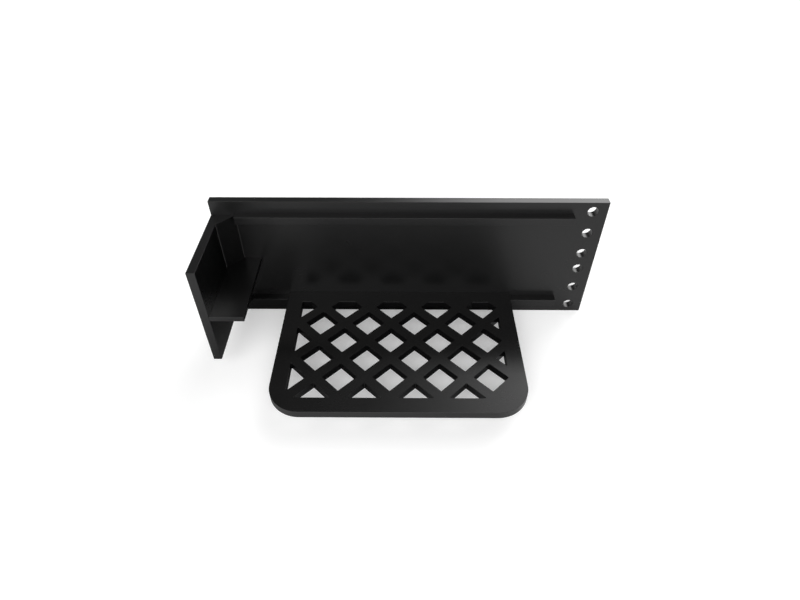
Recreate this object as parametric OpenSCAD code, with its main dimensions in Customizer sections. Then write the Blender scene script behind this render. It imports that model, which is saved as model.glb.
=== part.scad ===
// Bolt-on step for a tailgate, welded up from flat plate and square bar.
// X runs along the back plate, the tread stands out towards -Y, and +Z is up.
// The origin is the middle of the back plate's mounting face.

/* [Back plate] */
// Length of the back plate
plate_l = 609.6; // [600:0.1:660]
// Height of the back plate
plate_h = 224.8; // [222:0.1:250]
// Thickness of the plates and side of the square bars
stock_t = 12.7; // [12:0.1:14]

/* [Bolt holes] */
// Diameter of each bolt hole
hole_d = 16.7; // [12:0.1:18]
// Distance between neighbouring holes of one group of three
hole_pitch = 40; // [34:0.5:42]
// Distance between the two groups, from centre to centre
hole_gap = 32; // [26:0.5:34]
// Distance from the hole column to the plate's end
hole_edge = 22.8; // [16:0.1:30]

/* [Rails] */
// Distance from the plate's bracket end to the rails
rail_start = 38.1; // [38.1:0.1:60]
// Distance from the rails to the plate's bolted end
rail_stop = 50.8; // [40:0.1:80]
// Depth of the upper rail's top below the plate's top
upper_rail_drop = 20.5; // [18:0.1:40]
// Depth of the lower rail's top below the plate's top
lower_rail_drop = 188.8; // [186:0.1:190]

/* [End bracket] */
// How far the end plate stands out from the back plate
bracket_d = 139.6; // [110:0.1:160]
// Height of the end plate
bracket_h = 175.6; // [150:0.1:180]
// Width of the shelf, from the end plate's inner face
shelf_w = 51; // [45:0.1:60]
// Thickness of the shelf
shelf_t = 8; // [6:0.1:12]
// Leg of the corner gussets, to the corner of their slope
gusset_leg = 25.4; // [22:0.1:25.4]
// Nose cut off each toe of a gusset
gusset_nose = 1.2; // [1:0.1:4]

/* [Tread] */
// Width of the tread along the plate
tread_w = 379.3; // [375:0.1:384]
// How far the tread stands out from the back plate
tread_d = 252.4; // [251:0.1:260]
// Distance from the plate's bracket end to the tread
tread_start = 101; // [95:0.1:110]
// Depth of the tread's top below the plate's top
tread_drop = 182.5; // [180:0.1:184]
// Radius of the two front corners
tread_r = 49; // [30:0.5:60]
// Width of the plain border round the lattice
border = 25.4; // [22:0.1:27]

/* [Lattice] */
// Distance between the holes of one row, from centre to centre
lattice_pitch = 75.2; // [74:0.1:76]
// Width of a strip between two holes
strip_w = 16.2; // [15:0.1:24]
// Distance from the tread's side to the first hole's centre
first_hole = 26.5; // [25:0.1:29]
// Distance from the back plate to the first row's centre
first_row = 38; // [36:0.1:44]
// Corner radius of each hole
hole_corner_r = 0.8; // [0.6:0.1:4]

/* [Welds] */
// Leg of the fillet welds on the plates and bars
weld_leg = 5; // [3:0.1:6]
// Leg of the small welds on the gusset noses
nose_weld = 1; // [0.8:0.1:4]
// Depth of the ground-flush seam behind the end plate
seam_leg = 4; // [2:0.1:6]

/* [Hidden] */
$fn = 64;
eps = 0.01;
paint = [0.12, 0.12, 0.13];

// The back plate's edges and front face
left = -plate_l / 2;
right = plate_l / 2;
top = plate_h / 2;
bottom = -plate_h / 2;
front = -stock_t;

// The hole column, and each hole's height above and below its middle
hole_x = right - hole_edge;
hole_heights = [for (step = [0:2]) hole_gap / 2 + step * hole_pitch];

// The rails stand this far out of the plate
rail_front = front - stock_t;
lower_rail_top = top - lower_rail_drop;
upper_rail_bottom = top - upper_rail_drop - stock_t;
lower_rail_bottom = lower_rail_top - stock_t;

// The bracket is centred on the plate's height
inner = left + stock_t;
bracket_front = front - bracket_d;
bracket_top = bracket_h / 2;
bracket_bottom = -bracket_h / 2;
shelf_right = inner + shelf_w;
gusset_toe = gusset_leg - gusset_nose;

// The tread laps over the lower rail
tread_left = left + tread_start;
tread_right = tread_left + tread_w;
tread_front = front - tread_d;
tread_top = top - tread_drop;
tread_bottom = tread_top - stock_t;

// The lattice: square holes set on their corners, in staggered rows
lattice_side = lattice_pitch / sqrt(2) - strip_w;
rows = 6;
columns = 5;

// A box between its lowest and highest corners
module block(low, high) {
    translate(low)
        cube(high - low);
}

// A fillet weld from z = 0 upwards, its legs along +X and +Y
module fillet_weld(length, leg) {
    linear_extrude(length)
        polygon([[0, 0], [leg, 0], [0, leg]]);
}

// A fillet weld along +X under an overhang, its legs along -Y and -Z
module weld_under(length, leg) {
    mirror([0, 1, 0])
        mirror([0, 0, 1])
            rotate([90, 0, 90])
                fillet_weld(length, leg);
}

// A square rail along the plate's front face
module rail(height) {
    block([left + rail_start, rail_front, height - stock_t],
          [right - rail_stop, front, height]);
}

// A triangular corner gusset with blunt toes, between two heights
module gusset(low, high) {
    translate([inner, front, low])
        linear_extrude(high - low)
            polygon([
                [0, 0],
                [gusset_toe, 0],
                [gusset_toe, -gusset_nose],
                [gusset_nose, -gusset_toe],
                [0, -gusset_toe]
            ]);
}

// The two small welds at the toes of a gusset, between two heights
module toe_welds(low, high) {
    for (toe = [[gusset_toe, 0], [0, -gusset_toe]])
        translate([inner + toe[0], front + toe[1], low])
            mirror([0, 1, 0])
                fillet_weld(high - low, nose_weld);
}

// The tread's outline, seen from above, with its rear edge on the X axis
module tread_outline() {
    translate([0, tread_r - tread_d])
        square([tread_w, tread_d - tread_r]);
    translate([tread_r, -tread_d])
        square([tread_w - 2 * tread_r, tread_d]);
    for (x = [tread_r, tread_w - tread_r])
        translate([x, tread_r - tread_d])
            circle(tread_r, $fn = 128);
}

// The part of the tread that the lattice fills
module lattice_window() {
    translate([border, border - tread_d])
        square([tread_w - 2 * border, tread_d - 2 * border]);
}

// One square hole standing on its corner
module lattice_hole() {
    straight = lattice_side - 2 * hole_corner_r;
    reach = straight / 2;
    rotate(45) {
        square([straight, lattice_side], center = true);
        square([lattice_side, straight], center = true);
        for (x = [-reach, reach], y = [-reach, reach])
            translate([x, y])
                circle(hole_corner_r, $fn = 24);
    }
}

// The lattice: every second row is shifted by half a pitch,
// and the front row leaves out its last hole, by the rounded corner
module lattice_holes() {
    for (row = [0:rows - 1])
        let (last = row == rows - 1 ? columns - 2 : columns - 1)
            for (column = [0:last])
                translate([
                    first_hole + (column + (row % 2) / 2) * lattice_pitch,
                    -first_row - row * lattice_pitch / 2
                ])
                    lattice_hole();
}

module back_plate() {
    color(paint)
        difference() {
            block([left, front, bottom], [right, 0, top]);
            for (height = hole_heights, side = [-1, 1])
                translate([hole_x, front - eps, side * height])
                    rotate([-90, 0, 0])
                        cylinder(h = stock_t + 2 * eps, d = hole_d);
        }
}

module upper_rail() {
    color(paint)
        rail(top - upper_rail_drop);
}

module lower_rail() {
    color(paint)
        rail(lower_rail_top);
}

// The end plate's rear outer edge is bevelled for its seam
module end_plate() {
    color(paint)
        translate([0, 0, bracket_bottom])
            linear_extrude(bracket_h)
                polygon([
                    [left + seam_leg, front],
                    [inner, front],
                    [inner, bracket_front],
                    [left, bracket_front],
                    [left, front - seam_leg]
                ]);
}

module end_shelf() {
    color(paint)
        block([inner, bracket_front, -shelf_t / 2],
              [shelf_right, front, shelf_t / 2]);
}

module upper_gusset() {
    color(paint)
        gusset(shelf_t / 2, bracket_top);
}

module lower_gusset() {
    color(paint)
        gusset(bracket_bottom, -shelf_t / 2);
}

// The tread is rebated underneath, where it laps over the lower rail
module tread() {
    color(paint)
        difference() {
            translate([tread_left, front, tread_bottom])
                linear_extrude(stock_t)
                    tread_outline();
            translate([tread_left, front, tread_bottom - eps])
                linear_extrude(stock_t + 2 * eps)
                    intersection() {
                        lattice_window();
                        lattice_holes();
                    }
            block([tread_left - eps, rail_front, tread_bottom - eps],
                  [tread_right + eps, front + eps, lower_rail_top]);
        }
}

module upper_rail_weld() {
    color(paint)
        translate([left + rail_start, front, upper_rail_bottom])
            weld_under(plate_l - rail_start - rail_stop, weld_leg);
}

module lower_rail_weld() {
    color(paint)
        translate([left + rail_start, front, lower_rail_bottom])
            weld_under(plate_l - rail_start - rail_stop, weld_leg);
}

// Joins the tread's underside to the lower rail's front face
module tread_weld() {
    color(paint)
        translate([tread_left, rail_front, tread_bottom])
            weld_under(tread_w, weld_leg);
}

// Fills the bevel between the end plate and the back plate, ground flush
module end_plate_seam() {
    color(paint)
        translate([left, front, bracket_bottom])
            mirror([0, 1, 0])
                fillet_weld(bracket_h, seam_leg);
}

// Runs under the shelf along the end plate, short of the front edge
module shelf_side_weld() {
    color(paint)
        translate([inner, front - gusset_leg - weld_leg / 2, -shelf_t / 2])
            rotate([90, 90, 0])
                fillet_weld(bracket_d - gusset_leg - 3 * weld_leg, weld_leg);
}

// Runs under the shelf along the back plate
module shelf_rear_weld() {
    color(paint)
        translate([inner + gusset_leg + weld_leg / 2, front, -shelf_t / 2])
            weld_under(shelf_w - gusset_leg - weld_leg, weld_leg);
}

module gusset_welds() {
    color(paint) {
        toe_welds(bracket_bottom, -shelf_t / 2);
        toe_welds(shelf_t / 2, bracket_top);
    }
}

// Runs under the end plate and the lower gusset, along the back plate
module bracket_foot_weld() {
    color(paint)
        translate([left, front, bracket_bottom])
            weld_under(stock_t + gusset_leg - 1.5 * weld_leg, weld_leg);
}

back_plate();
upper_rail();
lower_rail();
end_plate();
end_shelf();
upper_gusset();
lower_gusset();
tread();
upper_rail_weld();
lower_rail_weld();
tread_weld();
end_plate_seam();
shelf_side_weld();
shelf_rear_weld();
gusset_welds();
bracket_foot_weld();
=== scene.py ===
"""A bolt-on tailgate step: plates, bars, a lattice tread and weld beads under one satin black coat."""

import math

import bmesh
import bpy
from mathutils import Matrix, Vector


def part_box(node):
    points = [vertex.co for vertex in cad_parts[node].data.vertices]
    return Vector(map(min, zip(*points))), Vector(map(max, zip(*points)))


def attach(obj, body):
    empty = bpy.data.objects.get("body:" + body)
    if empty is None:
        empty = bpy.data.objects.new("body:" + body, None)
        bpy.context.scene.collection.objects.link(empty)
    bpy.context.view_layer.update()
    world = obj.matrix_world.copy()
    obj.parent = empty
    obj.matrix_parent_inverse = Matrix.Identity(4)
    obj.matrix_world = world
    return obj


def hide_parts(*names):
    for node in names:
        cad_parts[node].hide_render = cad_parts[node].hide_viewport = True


bl_info = {
    "name": "Tailgate Step",
    "version": (1, 0, 0),
    "blender": (4, 5, 0),
    "location": "3D View > Sidebar > Step",
    "description": "Models the welded pieces of a tailgate step and coats them",
    "category": "Add Mesh",
}

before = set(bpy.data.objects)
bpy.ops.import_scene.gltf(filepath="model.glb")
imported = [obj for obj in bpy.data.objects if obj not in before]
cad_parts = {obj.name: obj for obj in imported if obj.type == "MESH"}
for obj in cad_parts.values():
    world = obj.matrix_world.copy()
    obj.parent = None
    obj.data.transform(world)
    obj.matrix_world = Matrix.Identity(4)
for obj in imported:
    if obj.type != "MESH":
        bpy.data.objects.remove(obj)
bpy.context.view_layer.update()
BODY = "root"
MM = 0.001

# Places closer than this are the same place
NEAR = 0.01 * MM
# How far a cutter reaches past what it cuts
REACH = 3 * MM
# How many segments a small and a big rounding have; one segment is a plain chamfer
ROUND, BIG_ROUND, CHAMFER = 6, 32, 1


# ---------------------------------------------------------------- settings


class StepSizes(bpy.types.PropertyGroup):
    """Sizes that the boxes of the frame's nodes don't give."""

    edge_radius: bpy.props.FloatProperty(
        name="Edge radius",
        description="Rounding of the edges of every plate and bar",
        default=0.25 * MM,
        unit="LENGTH",
    )
    hole_diameter: bpy.props.FloatProperty(
        name="Hole diameter",
        description="Diameter of the bolt holes",
        default=16.7 * MM,
        unit="LENGTH",
    )
    hole_pitch: bpy.props.FloatProperty(
        name="Hole pitch",
        description="Distance between neighbouring holes of one group of three",
        default=40 * MM,
        unit="LENGTH",
    )
    hole_gap: bpy.props.FloatProperty(
        name="Hole gap",
        description="Distance between the two groups of holes",
        default=32 * MM,
        unit="LENGTH",
    )
    hole_edge: bpy.props.FloatProperty(
        name="Hole edge",
        description="Distance from the hole column to the end of the plate",
        default=22.8 * MM,
        unit="LENGTH",
    )
    tread_corner: bpy.props.FloatProperty(
        name="Tread corner",
        description="Radius of the tread's two front corners",
        default=49 * MM,
        unit="LENGTH",
    )
    tread_border: bpy.props.FloatProperty(
        name="Tread border",
        description="Width of the plain border round the lattice",
        default=25.4 * MM,
        unit="LENGTH",
    )
    lattice_pitch: bpy.props.FloatProperty(
        name="Lattice pitch",
        description="Distance between the holes of one row",
        default=75.2 * MM,
        unit="LENGTH",
    )
    strip_width: bpy.props.FloatProperty(
        name="Strip width",
        description="Width of the strips between the lattice holes",
        default=16.2 * MM,
        unit="LENGTH",
    )
    first_hole: bpy.props.FloatProperty(
        name="First hole",
        description="Distance from the tread's side to the first hole's centre",
        default=26.5 * MM,
        unit="LENGTH",
    )
    first_row: bpy.props.FloatProperty(
        name="First row",
        description="Distance from the back plate to the first row's centre",
        default=38 * MM,
        unit="LENGTH",
    )
    lattice_corner: bpy.props.FloatProperty(
        name="Lattice corner",
        description="Corner radius of the lattice holes",
        default=0.8 * MM,
        unit="LENGTH",
    )
    gusset_nose: bpy.props.FloatProperty(
        name="Gusset nose",
        description="Blunt end of each toe of a gusset",
        default=1.2 * MM,
        unit="LENGTH",
    )
    ripple: bpy.props.FloatProperty(
        name="Ripple",
        description="Length of one weld ripple, as a share of the weld's leg",
        default=0.5,
        min=0.2,
        max=2,
    )


class StepCoat(bpy.types.PropertyGroup):
    """The look of the powder coat."""

    coat_color: bpy.props.FloatVectorProperty(
        name="Coat colour",
        description="Colour of the clean coat",
        subtype="COLOR",
        size=3,
        min=0,
        max=1,
        default=(0.0022, 0.0022, 0.0023),
    )
    worn_color: bpy.props.FloatVectorProperty(
        name="Worn colour",
        description="Colour of the coat where handling has rubbed its edges",
        subtype="COLOR",
        size=3,
        min=0,
        max=1,
        default=(0.016, 0.016, 0.016),
    )
    dust_color: bpy.props.FloatVectorProperty(
        name="Dust colour",
        description="Colour of the thin dust on faces that look up",
        subtype="COLOR",
        size=3,
        min=0,
        max=1,
        default=(0.05, 0.048, 0.045),
    )
    roughness: bpy.props.FloatProperty(
        name="Roughness",
        description="Roughness of the clean coat",
        default=0.24,
        min=0,
        max=1,
    )
    peel_size: bpy.props.FloatProperty(
        name="Peel size",
        description="Distance between the dimples of the coat's orange peel",
        default=1.6 * MM,
        unit="LENGTH",
    )
    peel_depth: bpy.props.FloatProperty(
        name="Peel depth",
        description="Depth of the dimples of the coat's orange peel",
        default=0.004 * MM,
        unit="LENGTH",
    )


class StepStage(bpy.types.PropertyGroup):
    """The camera and the floor."""

    lens: bpy.props.FloatProperty(
        name="Lens",
        description="Focal length of the camera in millimetres",
        default=25.3,
        min=1,
    )
    pitch: bpy.props.FloatProperty(
        name="Pitch",
        description="How far the camera looks down",
        default=math.radians(42.82),
        subtype="ANGLE",
    )
    yaw: bpy.props.FloatProperty(
        name="Yaw",
        description="How far the camera turns to the left",
        default=math.radians(0.35),
        subtype="ANGLE",
    )
    camera_place: bpy.props.FloatVectorProperty(
        name="Camera place",
        description="Where the camera stands, from the middle of the back plate's rear face",
        subtype="TRANSLATION",
        size=3,
        default=(-8.7 * MM, -736.1 * MM, 581.3 * MM),
    )
    floor_size: bpy.props.FloatProperty(
        name="Floor size",
        description="Side of the studio floor",
        default=24,
        unit="LENGTH",
    )
    floor_color: bpy.props.FloatVectorProperty(
        name="Floor colour",
        description="Colour of the studio floor",
        subtype="COLOR",
        size=3,
        min=0,
        max=1,
        default=(0.8, 0.8, 0.8),
    )
    floor_glow: bpy.props.FloatProperty(
        name="Floor glow",
        description="How much the floor, a light table, glows towards the camera",
        default=0.28,
        min=0,
    )


def sizes():
    return bpy.context.scene.step_sizes


def coat():
    return bpy.context.scene.step_coat


# ---------------------------------------------------------------- modelling


def activate(piece):
    """Leaves edit mode and selects one piece and nothing else."""
    if bpy.context.mode != "OBJECT":
        bpy.ops.object.mode_set(mode="OBJECT")
    bpy.ops.object.select_all(action="DESELECT")
    if piece:
        piece.select_set(True)
        bpy.context.view_layer.objects.active = piece


def settle(piece):
    """Puts a piece's place, turn and size into its mesh."""
    activate(piece)
    bpy.ops.object.transform_apply(location=True, rotation=True, scale=True)
    return piece


def pick(piece, kind, wanted):
    """Opens a piece in edit mode with only the wanted parts of its mesh selected."""
    activate(piece)
    bpy.ops.object.mode_set(mode="EDIT")
    bpy.ops.mesh.select_mode(type=kind)
    bpy.ops.mesh.select_all(action="DESELECT")
    mesh = bmesh.from_edit_mesh(piece.data)
    parts = {"VERT": mesh.verts, "EDGE": mesh.edges, "FACE": mesh.faces}[kind]
    for part in parts:
        if wanted(part):
            part.select_set(True)
    mesh.select_flush_mode()
    bmesh.update_edit_mesh(piece.data)


def done_editing():
    bpy.ops.object.mode_set(mode="OBJECT")


def add_box(name, low, high):
    """A box between two corners."""
    activate(None)
    low, high = Vector(low), Vector(high)
    bpy.ops.mesh.primitive_cube_add(size=1, location=(low + high) / 2)
    piece = bpy.context.object
    piece.name = piece.data.name = name
    piece.scale = high - low
    return settle(piece)


def use_modifier(piece, kind, **settings):
    """Adds a modifier, sets it and applies it."""
    activate(piece)
    modifier = piece.modifiers.new(kind.title(), kind)
    for key, value in settings.items():
        setattr(modifier, key, value)
    bpy.ops.object.modifier_apply(modifier=modifier.name)


def cut(piece, cutter, operation="DIFFERENCE"):
    """Cuts a piece with another, which is then thrown away."""
    use_modifier(piece, "BOOLEAN", operation=operation, object=cutter, solver="EXACT")
    bpy.data.objects.remove(cutter)


def join(pieces):
    """Makes several pieces one mesh."""
    activate(pieces[0])
    for piece in pieces[1:]:
        piece.select_set(True)
    bpy.ops.object.join()
    return pieces[0]


def copy_of(piece, offset):
    """A copy with its own mesh, moved by an offset."""
    other = piece.copy()
    other.data = piece.data.copy()
    bpy.context.scene.collection.objects.link(other)
    other.location = offset
    return settle(other)


def is_upright(edge):
    start, end = (corner.co for corner in edge.verts)
    return (start - end).xy.length < NEAR


def bevel_upright_edges(piece, radius, segments, wanted, profile=0.5):
    """Rounds or cuts off the upright edges that stand on a wanted spot."""
    pick(
        piece,
        "EDGE",
        lambda edge: is_upright(edge) and wanted(edge.verts[0].co.xy),
    )
    bpy.ops.mesh.bevel(
        offset=radius, segments=segments, profile=profile, affect="EDGES"
    )
    done_editing()


def stands_at(x, y):
    """A test for bevel_upright_edges: the edge stands on this spot."""
    return lambda spot: (spot - Vector((x, y))).length < NEAR


def ease_edges(piece, radius):
    """Rounds every sharp edge a little and keeps the flat faces flat."""
    use_modifier(
        piece,
        "BEVEL",
        width=radius,
        segments=3,
        limit_method="ANGLE",
        angle_limit=math.radians(40),
        use_clamp_overlap=False,
    )
    bpy.ops.object.shade_smooth()
    use_modifier(piece, "WEIGHTED_NORMAL", weight=100)


def finish_piece(piece, node, material):
    """Coats a piece and lets it stand for its node."""
    piece.name = piece.data.name = "coated_" + node
    piece.data.materials.clear()
    piece.data.materials.append(material)
    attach(piece, BODY)
    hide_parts(node)


def make_bar(node):
    """A flat or square bar, as long as its node."""
    piece = add_box(node, *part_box(node))
    ease_edges(piece, sizes().edge_radius)
    finish_piece(piece, node, plate_material())


def make_gusset(node):
    """A box whose free corner is cut off, which leaves two blunt toes."""
    low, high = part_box(node)
    piece = add_box(node, low, high)
    slope = high.x - low.x - sizes().gusset_nose
    bevel_upright_edges(piece, slope, CHAMFER, stands_at(high.x, low.y))
    ease_edges(piece, sizes().edge_radius)
    finish_piece(piece, node, plate_material())


def make_end_plate(node):
    """The end plate, bevelled for its seam along the rear outer edge."""
    low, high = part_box(node)
    seam_low, seam_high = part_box("end_plate_seam")
    piece = add_box(node, low, high)
    bevel_upright_edges(
        piece, seam_high.x - seam_low.x, CHAMFER, stands_at(low.x, high.y)
    )
    ease_edges(piece, sizes().edge_radius)
    finish_piece(piece, node, plate_material())


def make_back_plate(node):
    """The back plate with its column of bolt holes."""
    low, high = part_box(node)
    size = sizes()
    piece = add_box(node, low, high)
    middle = (low + high) / 2
    holes = []
    for step in range(3):
        for side in (-1, 1):
            height = side * (size.hole_gap / 2 + step * size.hole_pitch)
            activate(None)
            bpy.ops.mesh.primitive_cylinder_add(
                vertices=96,
                radius=size.hole_diameter / 2,
                depth=high.y - low.y + 2 * REACH,
                location=(high.x - size.hole_edge, middle.y, middle.z + height),
                rotation=(math.pi / 2, 0, 0),
            )
            holes.append(settle(bpy.context.object))
    cut(piece, join(holes))
    ease_edges(piece, size.edge_radius)
    finish_piece(piece, node, plate_material())


def lattice_cutter(low, high):
    """All the square holes of the tread, cropped to the inside of its border."""
    size = sizes()
    rows, columns = 6, 5
    half = (size.lattice_pitch / math.sqrt(2) - size.strip_width) / 2
    hole = add_box(
        "lattice_hole", (-half, -half, low.z - REACH), (half, half, high.z + REACH)
    )
    bevel_upright_edges(hole, size.lattice_corner, ROUND, lambda spot: True)
    hole.rotation_euler.z = math.radians(45)
    settle(hole)
    holes = []
    for row in range(rows):
        # the front row leaves out its last hole, by the rounded corner
        count = columns - 1 if row == rows - 1 else columns
        for column in range(count):
            along = size.first_hole + (column + row % 2 / 2) * size.lattice_pitch
            out = size.first_row + row * size.lattice_pitch / 2
            holes.append(copy_of(hole, (low.x + along, high.y - out, 0)))
    bpy.data.objects.remove(hole)
    cutter = join(holes)
    border = Vector((size.tread_border, size.tread_border, -2 * REACH))
    cut(cutter, add_box("lattice_window", low + border, high - border), "INTERSECT")
    return cutter


def make_tread(node):
    """The tread: round front corners, the lattice, and a rebate over the rail."""
    low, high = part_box(node)
    rail_low, rail_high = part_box("lower_rail")
    piece = add_box(node, low, high)
    bevel_upright_edges(
        piece, sizes().tread_corner, BIG_ROUND, lambda spot: spot.y < low.y + NEAR
    )
    cut(piece, lattice_cutter(low, high))
    rebate = add_box(
        "rebate",
        (low.x - REACH, rail_low.y, low.z - REACH),
        (high.x + REACH, high.y + REACH, rail_high.z),
    )
    cut(piece, rebate)
    ease_edges(piece, sizes().edge_radius)
    finish_piece(piece, node, tread_material())


# How full the bead is at each quarter of a ripple; the ends match, so ripples join
FULLNESS = (0.90, 1.0, 0.985, 0.95, 0.90)
# How much of its box a bead's face cuts off, and how round the face is
FACE_CUT = 0.9
FACE_ROUND = 0.33
# How far the middle of a ripple runs ahead of its sides, as a share of its length
RIPPLE_BOW = 0.12
# Shares of the leg within which the ripple's middle runs ahead, band after band
BOW_BANDS = (0.8, 0.5, 0.2)
# How far into its first ripple a bead is cut off, as a share of the ripple
BEAD_START = 0.6
# Shares of the leg within which the bead's ends grow thinner, and by how much
END_STEPS = (0.9, 0.55, 0.25)
END_SHRINK = 0.86
# The least height of the normal of a face that counts as level
LEVEL = 0.9


def add_bead(corner, legs, length, leg):
    """A rippled fillet weld from a corner, along the cross product of its two legs.

    The bead is made upright at the origin, one ripple first, and then put in its
    corner.
    """
    rounds = round(length / (leg * sizes().ripple))
    ripple = length / rounds
    bead = add_box("bead", (0, 0, 0), (leg, leg, ripple))
    bevel_upright_edges(bead, leg * FACE_CUT, ROUND, stands_at(leg, leg), FACE_ROUND)
    pick(bead, "FACE", lambda face: abs(face.normal.z) > LEVEL)
    bpy.ops.mesh.delete(type="ONLY_FACE")
    pick(bead, "EDGE", is_upright)
    bpy.ops.mesh.subdivide(number_cuts=len(FULLNESS) - 2)
    done_editing()
    for step, fullness in enumerate(FULLNESS):
        height = ripple * step / (len(FULLNESS) - 1)
        pick(bead, "VERT", lambda vert: abs(vert.co.z - height) < NEAR)
        bpy.ops.transform.resize(
            value=(fullness, fullness, 1), center_override=(0, 0, 0)
        )
        done_editing()
    # the middle of each ripple runs ahead, a little more with each narrower band
    for band in BOW_BANDS:
        pick(
            bead,
            "VERT",
            lambda vert: abs(vert.co.x - vert.co.y) < band * leg
            and vert.co.x + vert.co.y > leg / 2,
        )
        bpy.ops.transform.translate(value=(0, 0, RIPPLE_BOW * ripple))
        done_editing()
    use_modifier(
        bead,
        "ARRAY",
        count=rounds + 2,
        use_relative_offset=False,
        use_constant_offset=True,
        constant_offset_displace=(0, 0, ripple),
        use_merge_vertices=True,
        merge_threshold=NEAR / 2,
    )
    return close_bead(bead, corner, legs, length, ripple, leg)


def close_bead(bead, corner, legs, length, ripple, leg):
    """Cuts a bead to length, thins its ends and puts it in its corner."""
    start = ripple * BEAD_START
    for height, side in ((start, 1), (start + length, -1)):
        pick(bead, "VERT", lambda vert: True)
        bpy.ops.mesh.bisect(
            plane_co=(0, 0, height),
            plane_no=(0, 0, side),
            use_fill=True,
            clear_inner=True,
            threshold=NEAR / 10,
        )
        done_editing()
    for step in END_STEPS:
        pick(
            bead,
            "VERT",
            lambda vert: min(vert.co.z - start, start + length - vert.co.z)
            < step * leg,
        )
        bpy.ops.transform.resize(
            value=(END_SHRINK, END_SHRINK, 1), center_override=(0, 0, 0)
        )
        done_editing()
    first, second = (Vector(way) for way in legs)
    turn = Matrix((first, second, first.cross(second))).transposed()
    bead.rotation_euler = turn.to_euler()
    bead.location = Vector(corner) - turn @ Vector((0, 0, start))
    settle(bead)
    bpy.ops.object.shade_smooth_by_angle(angle=math.radians(50))
    return bead


DOWN, FORWARD, RIGHT = (0, 0, -1), (0, -1, 0), (1, 0, 0)


def make_bead_under(node):
    """A fillet weld that runs to the right, under an edge."""
    low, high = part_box(node)
    bead = add_bead(
        (low.x, high.y, high.z), (FORWARD, DOWN), high.x - low.x, high.z - low.z
    )
    finish_piece(bead, node, weld_material())


def make_shelf_side_bead(node):
    """The weld under the shelf, along the end plate."""
    low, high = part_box(node)
    bead = add_bead(
        (low.x, low.y, high.z), (RIGHT, DOWN), high.y - low.y, high.z - low.z
    )
    finish_piece(bead, node, weld_material())


def make_toe_beads(node):
    """The four upright welds at the toes of the gussets."""
    beads = []
    for gusset in ("upper_gusset", "lower_gusset"):
        low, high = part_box(gusset)
        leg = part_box(node)[1].x - high.x
        for spot in ((high.x, high.y), (low.x, low.y)):
            beads.append(
                add_bead((*spot, low.z), (FORWARD, RIGHT), high.z - low.z, leg)
            )
    finish_piece(join(beads), node, weld_material())


def make_seam(node):
    """The seam that fills the end plate's bevel and is ground flush with its face."""
    low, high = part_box(node)
    piece = add_box(node, low, high)
    depth = high.x - low.x
    bevel_upright_edges(piece, depth * FACE_CUT, CHAMFER, stands_at(high.x, low.y))
    ease_edges(piece, depth * (1 - FACE_CUT) / 3)
    finish_piece(piece, node, weld_material())


# ---------------------------------------------------------------- materials


def new_group(name, inputs, outputs):
    """A shader node group with float or vector sockets, and its two end nodes."""
    group = bpy.data.node_groups.new(name, "ShaderNodeTree")
    for label, kind, default in inputs:
        socket = group.interface.new_socket(label, in_out="INPUT", socket_type=kind)
        if default is not None:
            socket.default_value = default
    for label, kind in outputs:
        group.interface.new_socket(label, in_out="OUTPUT", socket_type=kind)
    start = group.nodes.new("NodeGroupInput")
    end = group.nodes.new("NodeGroupOutput")
    return group, start, end


def add_node(tree, kind, links=(), **settings):
    """Adds a node with its settings and feeds its inputs.

    links maps an input's name or number to a value or to an output socket.
    """
    node = tree.nodes.new(kind)
    for key, value in settings.items():
        setattr(node, key, value)
    for key, value in dict(links).items():
        if isinstance(value, bpy.types.NodeSocket):
            tree.links.new(value, node.inputs[key])
        else:
            node.inputs[key].default_value = value
    return node


def add_math(tree, operation, *values, **settings):
    """The result of an operation on values or output sockets."""
    links = dict(enumerate(values))
    node = add_node(tree, "ShaderNodeMath", links, operation=operation, **settings)
    return node.outputs[0]


def add_vector_math(tree, operation, *values):
    """The result of an operation on vectors, which for a dot product is a number."""
    links = dict(enumerate(values))
    node = add_node(tree, "ShaderNodeVectorMath", links, operation=operation)
    return node.outputs["Value" if operation == "DOT_PRODUCT" else "Vector"]


def add_ramp(tree, value, limits, top=1, **settings):
    """Rises from 0 at the first limit to top at the second, which may be the lower."""
    start, end = limits
    links = {
        "Value": value,
        "From Min": start,
        "From Max": end,
        "To Min": 0,
        "To Max": top,
    }
    return add_node(tree, "ShaderNodeMapRange", links, **settings).outputs[0]


def mix_colors(tree, factor, first, second):
    """A blend of two colours, by the colour sockets of a mix node."""
    links = {"Factor": factor, 6: first, 7: second}
    return add_node(tree, "ShaderNodeMix", links, data_type="RGBA").outputs[2]


# Between which cosines of the angle from flat to rounded normal an edge is worn
WEAR_EDGE = (0.995, 0.85)
# Between which noise levels the wear breaks up
WEAR_PATCHES = (0.45, 0.7)
# Between which heights of its normal a face starts to hold dust
DUST_LEVEL = (0.6, 0.98)
# From the rim of a speck of dust to its full middle, as shares of its cell
SPECK = (0.16, 0.06)
# What the two noises of the handling marks average together
HANDLING_MEAN = 0.7
COAT_IOR = 1.45


def orange_peel_group():
    """Soft dimples of two sizes, as a sprayed coat has."""
    group, start, end = new_group(
        "orange_peel",
        [
            ("Position", "NodeSocketVector", None),
            ("Scale", "NodeSocketFloat", 600),
        ],
        [("Height", "NodeSocketFloat")],
    )
    place, scale = start.outputs["Position"], start.outputs["Scale"]
    coarse = add_node(
        group,
        "ShaderNodeTexNoise",
        {"Vector": place, "Scale": scale, "Detail": 1.5, "Roughness": 0.4},
    )
    finer = add_math(group, "MULTIPLY", scale, 2.3)
    cells = add_node(
        group,
        "ShaderNodeTexVoronoi",
        {"Vector": place, "Scale": finer, "Smoothness": 0.8},
        feature="SMOOTH_F1",
    )
    depth = cells.outputs["Distance"]
    mixed = add_math(group, "MULTIPLY_ADD", depth, 0.45, coarse.outputs[0])
    group.links.new(mixed, end.inputs["Height"])
    return group


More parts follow.
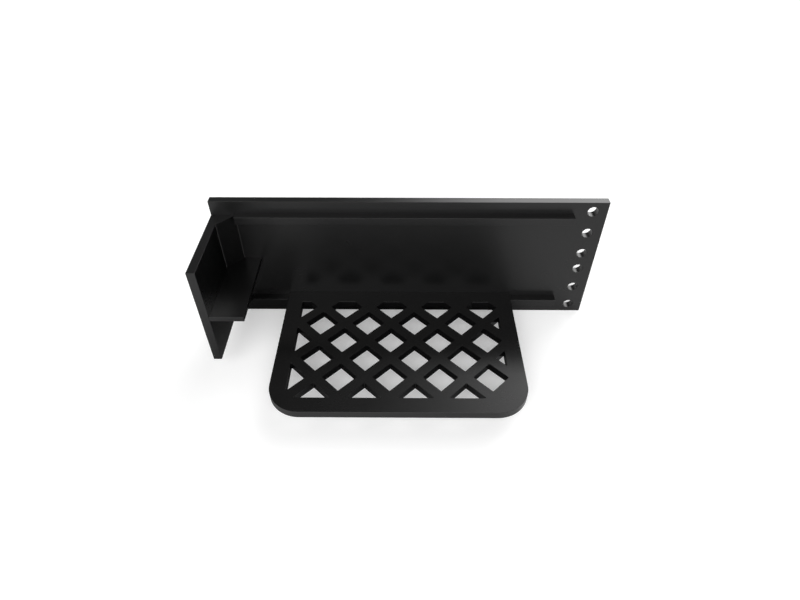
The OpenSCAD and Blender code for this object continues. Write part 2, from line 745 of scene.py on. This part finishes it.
def edge_wear_group():
    """A broken mask along sharp outer edges."""
    group, start, end = new_group(
        "edge_wear",
        [
            ("Position", "NodeSocketVector", None),
            ("Width", "NodeSocketFloat", 0.8 * MM),
            ("Amount", "NodeSocketFloat", 0.5),
        ],
        [("Mask", "NodeSocketFloat")],
    )
    rounded = add_node(
        group, "ShaderNodeBevel", {"Radius": start.outputs["Width"]}, samples=4
    )
    flat = add_node(group, "ShaderNodeNewGeometry")
    agreement = add_vector_math(
        group, "DOT_PRODUCT", rounded.outputs[0], flat.outputs["True Normal"]
    )
    edge = add_ramp(group, agreement, WEAR_EDGE)
    broken = add_node(
        group,
        "ShaderNodeTexNoise",
        {"Vector": start.outputs["Position"], "Scale": 160, "Detail": 6},
    )
    patches = add_ramp(group, broken.outputs[0], WEAR_PATCHES)
    worn = add_math(group, "MULTIPLY", edge, patches)
    amount = start.outputs["Amount"]
    scaled = add_math(group, "MULTIPLY", worn, amount, use_clamp=True)
    group.links.new(scaled, end.inputs["Mask"])
    return group


def dust_group():
    """A thin uneven film and a few specks on faces that look up."""
    group, start, end = new_group(
        "dust",
        [
            ("Position", "NodeSocketVector", None),
            ("Amount", "NodeSocketFloat", 0.1),
        ],
        [("Mask", "NodeSocketFloat")],
    )
    place = start.outputs["Position"]
    flat = add_node(group, "ShaderNodeNewGeometry")
    upward = add_node(
        group, "ShaderNodeSeparateXYZ", {0: flat.outputs["True Normal"]}
    )
    level = add_ramp(group, upward.outputs["Z"], DUST_LEVEL)
    clouds = add_node(
        group,
        "ShaderNodeTexNoise",
        {"Vector": place, "Scale": 22, "Detail": 5, "Roughness": 0.6},
    )
    specks = add_node(
        group, "ShaderNodeTexVoronoi", {"Vector": place, "Scale": 420}, feature="F1"
    )
    dots = add_ramp(group, specks.outputs["Distance"], SPECK)
    film = add_math(group, "MULTIPLY_ADD", dots, 0.6, clouds.outputs[0])
    settled = add_math(group, "MULTIPLY", film, level)
    amount = start.outputs["Amount"]
    scaled = add_math(group, "MULTIPLY", settled, amount, use_clamp=True)
    group.links.new(scaled, end.inputs["Mask"])
    return group


def handling_group():
    """Broad soft patches and faint rub marks that change how glossy the coat is."""
    group, start, end = new_group(
        "handling",
        [
            ("Position", "NodeSocketVector", None),
            ("Base", "NodeSocketFloat", 0.33),
            ("Spread", "NodeSocketFloat", 0.06),
        ],
        [("Roughness", "NodeSocketFloat")],
    )
    place = start.outputs["Position"]
    patches = add_node(
        group,
        "ShaderNodeTexNoise",
        {"Vector": place, "Scale": 9, "Detail": 4, "Roughness": 0.55},
    )
    stretched = add_node(
        group, "ShaderNodeMapping", {"Vector": place, "Scale": (14, 160, 160)}
    )
    rubs = add_node(
        group,
        "ShaderNodeTexNoise",
        {"Vector": stretched.outputs[0], "Scale": 1, "Detail": 3, "Roughness": 0.6},
    )
    both = add_math(group, "MULTIPLY_ADD", rubs.outputs[0], 0.4, patches.outputs[0])
    centred = add_math(group, "SUBTRACT", both, HANDLING_MEAN)
    spread, base = start.outputs["Spread"], start.outputs["Base"]
    roughness = add_math(group, "MULTIPLY_ADD", centred, spread, base)
    group.links.new(roughness, end.inputs["Roughness"])
    return group


def shared_group(name, build):
    """A node group that is built the first time that a material asks for it."""
    return bpy.data.node_groups.get(name) or build()


def add_group(tree, group, links):
    """Places a node group; its inputs exist only once the group is set."""
    return add_node(tree, "ShaderNodeGroup", links, node_tree=group)


def coat_material(name, rougher, spread, wear, dust, peel):
    """Satin black powder coat with orange peel, rubbed edges and a little dust.

    rougher is added to the clean coat's roughness and spread is how far it wanders;
    wear and dust are shares, and peel multiplies the depth of the orange peel.
    """
    if name in bpy.data.materials:
        return bpy.data.materials[name]
    material = bpy.data.materials.new(name)
    material.use_nodes = True
    tree = material.node_tree
    shader = tree.nodes["Principled BSDF"]
    place = add_node(tree, "ShaderNodeTexCoord").outputs["Object"]
    worn = add_group(
        tree,
        shared_group("edge_wear", edge_wear_group),
        {"Position": place, "Amount": wear},
    )
    dusty = add_group(
        tree, shared_group("dust", dust_group), {"Position": place, "Amount": dust}
    )
    gloss = add_group(
        tree,
        shared_group("handling", handling_group),
        {"Position": place, "Base": coat().roughness + rougher, "Spread": spread},
    )
    dimples = add_group(
        tree,
        shared_group("orange_peel", orange_peel_group),
        {"Position": place, "Scale": 1 / coat().peel_size},
    )
    clean, worn_color = (*coat().coat_color, 1), (*coat().worn_color, 1)
    rubbed = mix_colors(tree, worn.outputs["Mask"], clean, worn_color)
    film = mix_colors(tree, dusty.outputs["Mask"], rubbed, (*coat().dust_color, 1))
    duller = add_math(
        tree,
        "MULTIPLY_ADD",
        dusty.outputs["Mask"],
        0.5,
        gloss.outputs["Roughness"],
        use_clamp=True,
    )
    bump = add_node(
        tree,
        "ShaderNodeBump",
        {
            "Strength": 1,
            "Distance": coat().peel_depth * peel,
            "Height": dimples.outputs["Height"],
        },
    )
    tree.links.new(film, shader.inputs["Base Color"])
    tree.links.new(duller, shader.inputs["Roughness"])
    tree.links.new(bump.outputs[0], shader.inputs["Normal"])
    shader.inputs["IOR"].default_value = COAT_IOR
    return material


def plate_material():
    return coat_material(
        "plate_black_coat", rougher=0.05, spread=0.1, wear=0.5, dust=0.04, peel=1
    )


def tread_material():
    return coat_material(
        "tread_black_coat", rougher=0, spread=0.14, wear=0.8, dust=0.06, peel=1
    )


def weld_material():
    return coat_material(
        "weld_black_coat", rougher=0.04, spread=0.1, wear=0.3, dust=0.04, peel=2
    )


# ---------------------------------------------------------------- stage


# The patch of table under the step that gets a painted shade, seen only in the coat's reflections, how
# far its edge fades, and the painted shade's colour
PAINTED_SHADE_LOW = Vector((-310, -250, 0)) * MM
PAINTED_SHADE_HIGH = Vector((170, 30, 0)) * MM
PAINTED_SHADE_FADE = 60 * MM
PAINTED_SHADE_COLOR = (0.12, 0.12, 0.12, 1)
FLOOR_ROUGHNESS = 0.9
# The brightness of the mottle's darker patches
MOTTLE = 0.99


def add_painted_mirror_shade(tree, place, lit):
    """Paints shade on the table under the step that only glossy rays see, so the coat mirrors a darker
    table there.
    """
    middle = (PAINTED_SHADE_LOW + PAINTED_SHADE_HIGH) / 2
    offset = add_vector_math(tree, "SUBTRACT", place, middle)
    apart = add_vector_math(tree, "ABSOLUTE", offset)
    past = add_vector_math(tree, "SUBTRACT", apart, PAINTED_SHADE_HIGH - middle)
    sides = add_node(tree, "ShaderNodeSeparateXYZ", {0: past})
    edge = add_math(tree, "MAXIMUM", sides.outputs["X"], sides.outputs["Y"])
    limits = (PAINTED_SHADE_FADE, -PAINTED_SHADE_FADE)
    under = add_ramp(tree, edge, limits, interpolation_type="SMOOTHSTEP")
    glossy = add_node(tree, "ShaderNodeLightPath").outputs["Is Glossy Ray"]
    # painted shade: glossy rays see the table darker under the step than its lighting makes it
    painted_shade_mask = add_math(tree, "MULTIPLY", glossy, under)
    return mix_colors(tree, painted_shade_mask, lit, PAINTED_SHADE_COLOR)


def floor_material():
    """Pale matt table top with a faint mottle and a painted shade under the step that only reflections
    see, which glows towards the camera.
    """
    material = bpy.data.materials.new("studio_floor")
    material.use_nodes = True
    tree = material.node_tree
    shader = tree.nodes["Principled BSDF"]
    place = add_node(tree, "ShaderNodeTexCoord").outputs["Object"]
    mottle = add_node(
        tree, "ShaderNodeTexNoise", {"Vector": place, "Scale": 3, "Detail": 4}
    )
    stage = bpy.context.scene.step_stage
    color = Vector(stage.floor_color)
    lit = mix_colors(tree, mottle.outputs[0], (*color, 1), (*(color * MOTTLE), 1))
    # the base colour carries the painted shade that the coat mirrors under the step
    tree.links.new(add_painted_mirror_shade(tree, place, lit), shader.inputs["Base Color"])
    seen = add_node(tree, "ShaderNodeLightPath").outputs["Is Camera Ray"]
    glow = add_math(tree, "MULTIPLY", seen, stage.floor_glow)
    shader.inputs["Emission Color"].default_value = (1, 1, 1, 1)
    tree.links.new(glow, shader.inputs["Emission Strength"])
    shader.inputs["Roughness"].default_value = FLOOR_ROUGHNESS
    shader.inputs["Specular IOR Level"].default_value = 0
    return material


def add_floor(height):
    activate(None)
    bpy.ops.mesh.primitive_plane_add(
        size=bpy.context.scene.step_stage.floor_size, location=(0, 0, height)
    )
    floor = bpy.context.object
    floor.name = "studio_floor"
    settle(floor)
    floor.data.materials.append(floor_material())


# The softboxes: the label of each one; where it stands as azimuth and elevation in
# degrees, with azimuth 0 behind the step and 90 on its right; its inner and outer
# half angle in degrees; and its brightness
SOFTBOXES = (
    ("key", (30, 26), (18, 28), 3.8),
    ("key_top", (40, 50), (6, 30), 1.3),
    ("front_left", (-150, 38), (9, 27), 4.0),
    ("front_right", (165, 38), (9, 30), 2.6),
    ("front_low", (180, 12), (9, 27), 4.8),
    ("left_low", (-90, 12), (9, 27), 1.0),
    ("back_left_low", (-45, 12), (9, 27), 0.6),
)
AMBIENT = 0.14


def towards(azimuth, elevation):
    azimuth, elevation = math.radians(azimuth), math.radians(elevation)
    level = math.cos(elevation)
    return Vector(
        (level * math.sin(azimuth), level * math.cos(azimuth), math.sin(elevation))
    )


def make_world(softboxes, ambient):
    """A dim room with large soft lights in it."""
    world = bpy.data.worlds.new("studio")
    bpy.context.scene.world = world
    world.use_nodes = True
    tree = world.node_tree
    way = add_node(tree, "ShaderNodeTexCoord").outputs["Generated"]
    total = ambient
    for name, place, angles, strength in softboxes:
        nearness = add_vector_math(tree, "DOT_PRODUCT", way, towards(*place))
        inner, outer = (math.cos(math.radians(angle)) for angle in angles)
        light = add_ramp(
            tree,
            nearness,
            (outer, inner),
            strength,
            interpolation_type="SMOOTHSTEP",
            label=name,
        )
        total = add_math(tree, "ADD", light, total)
    # the camera sees a plain pale room and not the lights themselves
    seen = add_node(tree, "ShaderNodeLightPath").outputs["Is Camera Ray"]
    shown = add_node(
        tree, "ShaderNodeMix", {"Factor": seen, "A": total, "B": 1}, data_type="FLOAT"
    )
    background = tree.nodes["Background"]
    background.inputs["Color"].default_value = (1, 1, 1, 1)
    tree.links.new(shown.outputs[0], background.inputs["Strength"])


def add_camera():
    stage = bpy.context.scene.step_stage
    activate(None)
    bpy.ops.object.camera_add(
        location=stage.camera_place,
        rotation=(math.pi / 2 - stage.pitch, 0, stage.yaw),
    )
    camera = bpy.context.object
    camera.data.lens = stage.lens
    camera.data.sensor_width = 36
    bpy.context.scene.camera = camera


# ---------------------------------------------------------------- operators


class STEP_OT_back_plate(bpy.types.Operator):
    """Adds the back plate with its six bolt holes"""

    bl_idname = "step.back_plate"
    bl_label = "Back plate"
    bl_options = {"REGISTER", "UNDO"}

    def execute(self, context):
        make_back_plate("back_plate")
        return {"FINISHED"}


class STEP_OT_rails(bpy.types.Operator):
    """Adds the two square rails on the back plate"""

    bl_idname = "step.rails"
    bl_label = "Rails"
    bl_options = {"REGISTER", "UNDO"}

    def execute(self, context):
        for node in ("upper_rail", "lower_rail"):
            make_bar(node)
        return {"FINISHED"}


class STEP_OT_end_bracket(bpy.types.Operator):
    """Adds the end plate, its shelf and its two gussets"""

    bl_idname = "step.end_bracket"
    bl_label = "End bracket"
    bl_options = {"REGISTER", "UNDO"}

    def execute(self, context):
        make_end_plate("end_plate")
        make_bar("end_shelf")
        for node in ("upper_gusset", "lower_gusset"):
            make_gusset(node)
        return {"FINISHED"}


class STEP_OT_tread(bpy.types.Operator):
    """Adds the lattice tread"""

    bl_idname = "step.tread"
    bl_label = "Tread"
    bl_options = {"REGISTER", "UNDO"}

    def execute(self, context):
        make_tread("tread")
        return {"FINISHED"}


class STEP_OT_welds(bpy.types.Operator):
    """Adds the weld beads that hold the plates and bars together"""

    bl_idname = "step.welds"
    bl_label = "Welds"
    bl_options = {"REGISTER", "UNDO"}

    def execute(self, context):
        for node in (
            "upper_rail_weld",
            "lower_rail_weld",
            "tread_weld",
            "shelf_rear_weld",
            "bracket_foot_weld",
        ):
            make_bead_under(node)
        make_shelf_side_bead("shelf_side_weld")
        make_toe_beads("gusset_welds")
        make_seam("end_plate_seam")
        return {"FINISHED"}


class STEP_OT_stage(bpy.types.Operator):
    """Sets the floor, the soft lights and the camera"""

    bl_idname = "step.stage"
    bl_label = "Stage"
    bl_options = {"REGISTER", "UNDO"}

    def execute(self, context):
        low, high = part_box("back_plate")
        add_floor(low.z)
        make_world(SOFTBOXES, AMBIENT)
        add_camera()
        context.scene.view_settings.view_transform = "Standard"
        return {"FINISHED"}


class STEP_PT_panel(bpy.types.Panel):
    """Lists the step's pieces and its stage"""

    bl_idname = "STEP_PT_panel"
    bl_label = "Tailgate Step"
    bl_space_type = "VIEW_3D"
    bl_region_type = "UI"
    bl_category = "Step"

    def draw(self, context):
        for group in SETTINGS:
            settings = getattr(context.scene, group)
            box = self.layout.box()
            for key in settings.__annotations__:
                box.prop(settings, key)
        for operator in OPERATORS:
            self.layout.operator(operator.bl_idname)


SETTINGS = {"step_sizes": StepSizes, "step_coat": StepCoat, "step_stage": StepStage}
OPERATORS = (
    STEP_OT_back_plate,
    STEP_OT_rails,
    STEP_OT_end_bracket,
    STEP_OT_tread,
    STEP_OT_welds,
    STEP_OT_stage,
)


def register():
    for settings in SETTINGS.values():
        bpy.utils.register_class(settings)
    for operator in OPERATORS:
        bpy.utils.register_class(operator)
    bpy.utils.register_class(STEP_PT_panel)
    for name, settings in SETTINGS.items():
        setattr(bpy.types.Scene, name, bpy.props.PointerProperty(type=settings))


def unregister():
    for name in SETTINGS:
        delattr(bpy.types.Scene, name)
    bpy.utils.unregister_class(STEP_PT_panel)
    for operator in reversed(OPERATORS):
        bpy.utils.unregister_class(operator)
    for settings in SETTINGS.values():
        bpy.utils.unregister_class(settings)


def main():
    register()
    bpy.ops.step.stage()
    bpy.ops.step.back_plate()
    bpy.ops.step.rails()
    bpy.ops.step.end_bracket()
    bpy.ops.step.tread()
    bpy.ops.step.welds()


if __name__ == "__main__":
    main()
